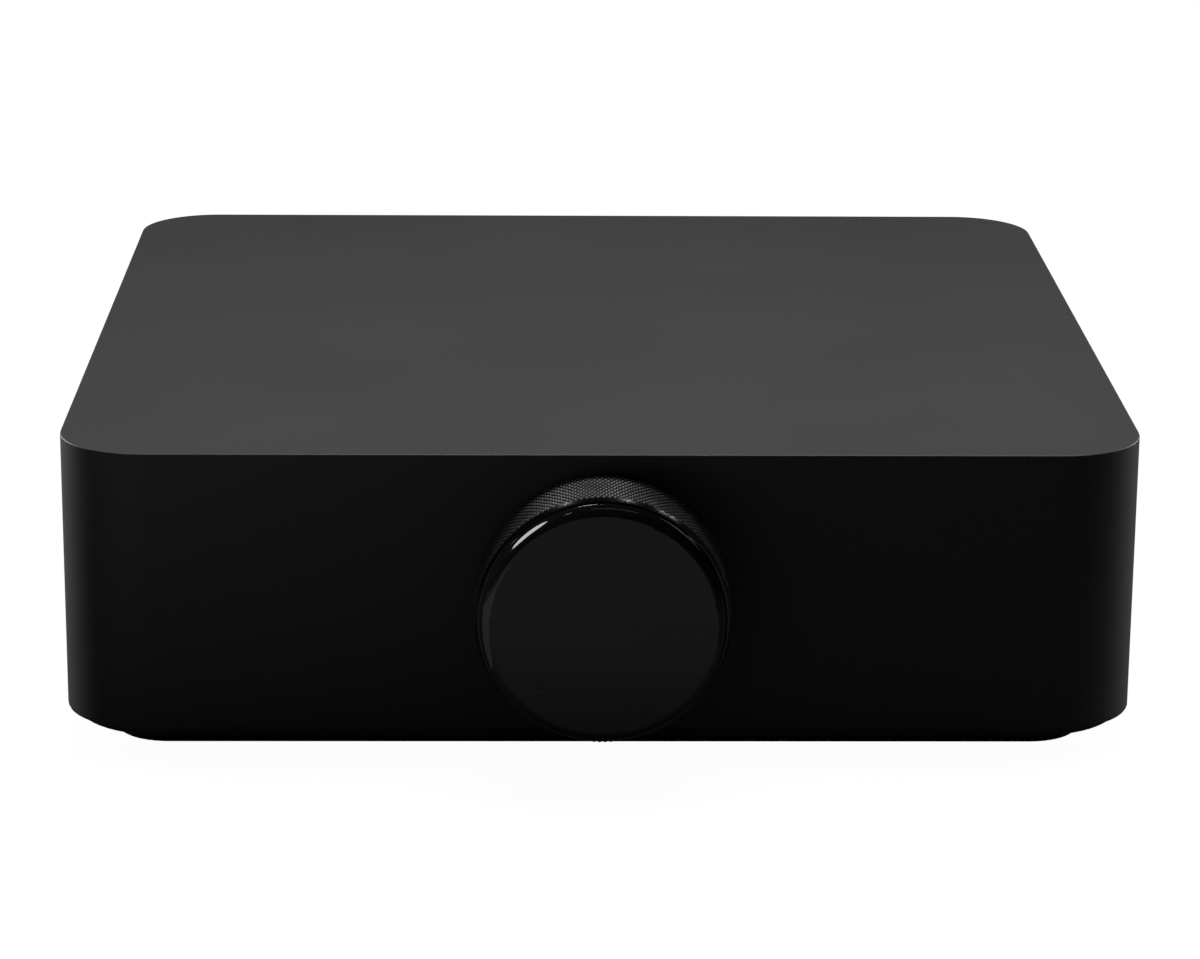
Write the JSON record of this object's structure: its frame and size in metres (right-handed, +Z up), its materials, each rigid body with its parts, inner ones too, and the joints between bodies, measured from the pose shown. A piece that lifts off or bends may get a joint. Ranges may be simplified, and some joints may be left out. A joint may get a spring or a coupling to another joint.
{
  "type": "audio amplifier",
  "caption": "Low square black metal amplifier with rounded corners, a knurled control ring round a black glass display disc, and posts and sockets on the rear.",
  "frame": {"origin": "middle of the square footprint, on the surface that the foot ring stands on", "axes": "+X to the right of someone facing the front, +Y to the rear, +Z up"},
  "size_m": [0.215, 0.2531, 0.063],
  "materials": {
    "housing_finish": "satin black anodised, very fine grain",
    "knob_metal": "glossy black anodised, finely knurled",
    "black_glass": "polished black glass",
    "cover_plastic": "fine moulded texture",
    "foot_rubber": "matt black rubber",
    "panel_paint": "fine textured black paint",
    "dark_screw": "black oxide",
    "bright_steel": "plated steel",
    "plain_aluminium": "plain extruded aluminium",
    "gold_plate": "gold-plated brass",
    "brass_sheet": "plain brass",
    "magnet": "sintered magnet",
    "ferrite": "dull ferrite",
    "copper_winding": "enamelled copper wire",
    "circuit_board": "green solder mask",
    "black_plastic": "moulded black plastic",
    "red_plastic": "moulded red plastic",
    "pale_plastic": "moulded pale plastic",
    "cap_plastic": "moulded black plastic, fluted",
    "display_module": "dark display",
    "flat_cable": "flat flexible cable",
    "capacitor_sleeve": "shrink sleeve"
  },
  "bodies": {
    "chassis": {"housing": "housing_finish", "base_cover": "cover_plastic", "foot_ring": "foot_rubber", "base_screws": "dark_screw", "rear_panel": "panel_paint", "rear_panel_screws": "dark_screw", "bearing_inner_race": "bright_steel", "knob_hub": "plain_aluminium", "knob_board": "circuit_board", "knob_screws": "bright_steel", "display_carrier": "black_plastic", "display_panel": "display_module", "display_cable": "flat_cable", "glass_lens": "black_glass", "power_board": "circuit_board", "main_board": "circuit_board", "board_standoffs": "brass_sheet", "board_screws": "bright_steel", "line_choke": "copper_winding", "fuse": "bright_steel", "transformer_core": "ferrite", "transformer_coil": "copper_winding", "bulk_capacitors": "capacitor_sleeve", "power_heatsink": "plain_aluminium", "power_transistors": "black_plastic", "amplifier_chips": "black_plastic", "amplifier_heatsink": "plain_aluminium", "output_inductors": "ferrite", "output_capacitors": "capacitor_sleeve", "processor_shield": "bright_steel", "wireless_module": "bright_steel", "power_harness": "flat_cable", "mains_inlet": "black_plastic", "inlet_pins": "gold_plate", "network_socket": "bright_steel", "hdmi_socket": "bright_steel", "optical_socket": "black_plastic", "phono_barrels": "gold_plate", "phono_insulators": "pale_plastic", "pair_switch": "black_plastic", "red_post_collars": "red_plastic", "black_post_collars": "black_plastic", "post_studs": "gold_plate", "post_nuts": "bright_steel"},
    "control_ring": {"knob_ring": "knob_metal", "magnet_ring": "magnet", "bearing_outer_race": "bright_steel", "bearing_circlip": "bright_steel"},
    "ball_cage": {"bearing_balls": "bright_steel", "bearing_cage": "brass_sheet"},
    "shutter": {"optical_shutter": "black_plastic"},
    "button": {"pair_button": "black_plastic"},
    "washer_right_plus": {"clamp_washer_right_plus": "gold_plate"},
    "cap_right_plus": {"post_cap_right_plus": "cap_plastic"},
    "washer_right_minus": {"clamp_washer_right_minus": "gold_plate"},
    "cap_right_minus": {"post_cap_right_minus": "cap_plastic"},
    "washer_left_plus": {"clamp_washer_left_plus": "gold_plate"},
    "cap_left_plus": {"post_cap_left_plus": "cap_plastic"},
    "washer_left_minus": {"clamp_washer_left_minus": "gold_plate"},
    "cap_left_minus": {"post_cap_left_minus": "cap_plastic"}
  },
  "joints": [
    {"name": "control_ring_turn", "type": "hinge", "parent": "chassis", "child": "control_ring", "pos_m": [0, -0.113, 0.034], "axis": [0, -1, 0], "continuous": true},
    {"name": "ball_cage_turn", "type": "hinge", "parent": "chassis", "child": "ball_cage", "pos_m": [0, -0.113, 0.034], "axis": [0, -1, 0], "continuous": true},
    {"name": "shutter_swing", "type": "hinge", "parent": "chassis", "child": "shutter", "pos_m": [0.036, 0.1057, 0.0226], "axis": [-1, 0, 0], "range_deg": [0, 80], "stiffness_Nm_per_rad": 0.0002, "springref_deg": -28.65},
    {"name": "button_press", "type": "slide", "parent": "chassis", "child": "button", "axis": [0, -1, 0], "range_m": [0, 0.0007], "stiffness_N_per_m": 600, "springref_m": -0.0003},
    {"name": "washer_slide_right_plus", "type": "slide", "parent": "chassis", "child": "washer_right_plus", "axis": [0, 1, 0], "range_m": [0, 0.005]},
    {"name": "cap_turn_right_plus", "type": "hinge", "parent": "washer_right_plus", "child": "cap_right_plus", "pos_m": [0.01, 0.1116, 0.041], "axis": [0, 1, 0], "range_deg": [0, 1800]},
    {"name": "washer_slide_right_minus", "type": "slide", "parent": "chassis", "child": "washer_right_minus", "axis": [0, 1, 0], "range_m": [0, 0.005]},
    {"name": "cap_turn_right_minus", "type": "hinge", "parent": "washer_right_minus", "child": "cap_right_minus", "pos_m": [0.029, 0.1116, 0.041], "axis": [0, 1, 0], "range_deg": [0, 1800]},
    {"name": "washer_slide_left_plus", "type": "slide", "parent": "chassis", "child": "washer_left_plus", "axis": [0, 1, 0], "range_m": [0, 0.005]},
    {"name": "cap_turn_left_plus", "type": "hinge", "parent": "washer_left_plus", "child": "cap_left_plus", "pos_m": [0.048, 0.1116, 0.041], "axis": [0, 1, 0], "range_deg": [0, 1800]},
    {"name": "washer_slide_left_minus", "type": "slide", "parent": "chassis", "child": "washer_left_minus", "axis": [0, 1, 0], "range_m": [0, 0.005]},
    {"name": "cap_turn_left_minus", "type": "hinge", "parent": "washer_left_minus", "child": "cap_left_minus", "pos_m": [0.067, 0.1116, 0.041], "axis": [0, 1, 0], "range_deg": [0, 1800]}
  ],
  "couplings": [
    {"joint": "ball_cage_turn", "follows": "control_ring_turn", "ratio": 0.5348},
    {"joint": "cap_turn_right_plus", "follows": "washer_slide_right_plus", "rad_per_m": 6283.2},
    {"joint": "cap_turn_right_minus", "follows": "washer_slide_right_minus", "rad_per_m": 6283.2},
    {"joint": "cap_turn_left_plus", "follows": "washer_slide_left_plus", "rad_per_m": 6283.2},
    {"joint": "cap_turn_left_minus", "follows": "washer_slide_left_minus", "rad_per_m": 6283.2}
  ]
}
